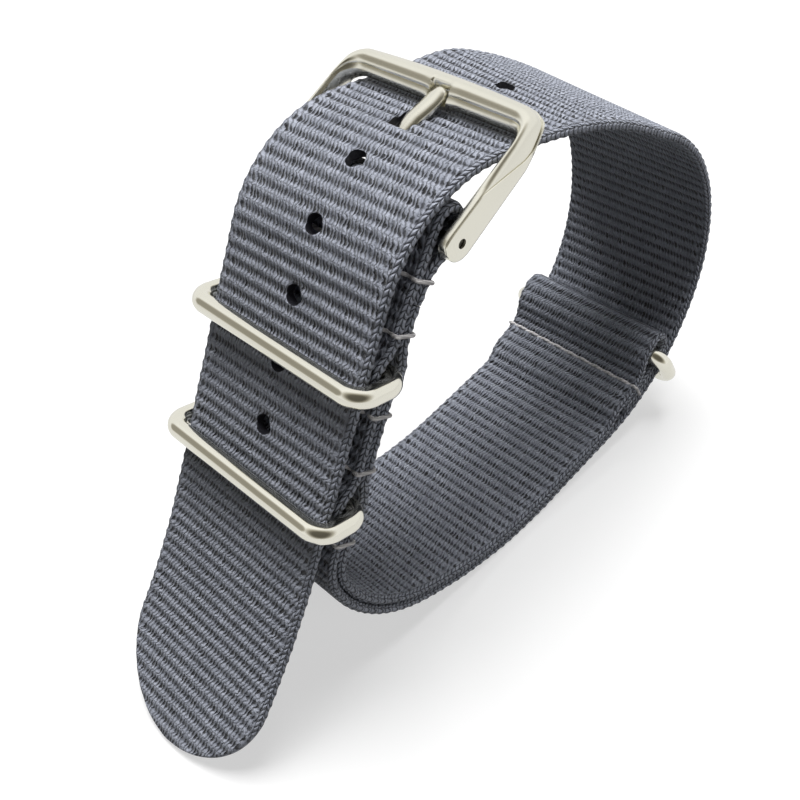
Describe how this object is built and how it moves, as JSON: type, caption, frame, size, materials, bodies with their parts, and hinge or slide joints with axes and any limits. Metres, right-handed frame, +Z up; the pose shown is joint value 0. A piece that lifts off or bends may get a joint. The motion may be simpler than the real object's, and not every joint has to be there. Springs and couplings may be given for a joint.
{
  "type": "nylon watch strap",
  "caption": "Pull-through nylon webbing watch strap with rounded punched tail, pin buckle and rounded wire rings, closed into its wrist loop.",
  "frame": {"origin": "on the floor under the middle of the closed loop and its hanging tail", "axes": "+X along the loop from the keeper side to the far end, Y across the webbing, +Z up"},
  "size_m": [0.0866, 0.0266, 0.059],
  "materials": {
    "webbing": "ribbed nylon webbing, matt",
    "thread": "spun thread, matt",
    "steel": "polished"
  },
  "bodies": {
    "strap": {"main_strap": "webbing", "short_strap": "webbing", "spring_bar_barrel": "steel", "spring_bar_spring": "steel", "fold_stitching": "thread", "upper_keeper_top_stitching": "thread", "upper_keeper_bottom_stitching": "thread", "lower_keeper_top_stitching": "thread", "lower_keeper_bottom_stitching": "thread", "end_fold_stitching": "thread"},
    "buckle": {"buckle_frame": "steel"},
    "tongue": {"buckle_tongue": "steel"},
    "upper_keeper": {"upper_keeper_ring": "steel"},
    "lower_keeper": {"lower_keeper_ring": "steel"},
    "end_keeper": {"strap_end_ring": "steel"},
    "tip_near": {"spring_bar_tip_near": "steel"},
    "tip_far": {"spring_bar_tip_far": "steel"}
  },
  "joints": [
    {"name": "buckle_swing", "type": "hinge", "parent": "strap", "child": "buckle", "pos_m": [-0.00465, 0, 0.0514], "axis": [0, -1, 0], "range_deg": [0, 5]},
    {"name": "tongue_swing", "type": "hinge", "parent": "strap", "child": "tongue", "pos_m": [-0.00465, 0, 0.0514], "axis": [0, -1, 0], "range_deg": [0, 5]},
    {"name": "upper_keeper_swing", "type": "hinge", "parent": "strap", "child": "upper_keeper", "pos_m": [-0.01314, 0, 0.04039], "axis": [0, 1, 0], "range_deg": [-8, 36]},
    {"name": "lower_keeper_swing", "type": "hinge", "parent": "strap", "child": "lower_keeper", "pos_m": [-0.02004, 0, 0.02764], "axis": [0, 1, 0], "range_deg": [-8, 36]},
    {"name": "end_keeper_swing", "type": "hinge", "parent": "strap", "child": "end_keeper", "pos_m": [0.03309, 0, 0.01106], "axis": [0, -1, 0], "range_deg": [0, 30]},
    {"name": "tip_near_press", "type": "slide", "parent": "strap", "child": "tip_near", "axis": [0, 1, 0], "range_m": [0, 0.0014], "stiffness_N_per_m": 400, "deforming": ["spring_bar_spring"]},
    {"name": "tip_far_press", "type": "slide", "parent": "strap", "child": "tip_far", "axis": [0, -1, 0], "range_m": [0, 0.0014], "stiffness_N_per_m": 400, "deforming": ["spring_bar_spring"]}
  ],
  "couplings": [
    {"joint": "tongue_swing", "follows": "buckle_swing", "ratio": 1}
  ]
}
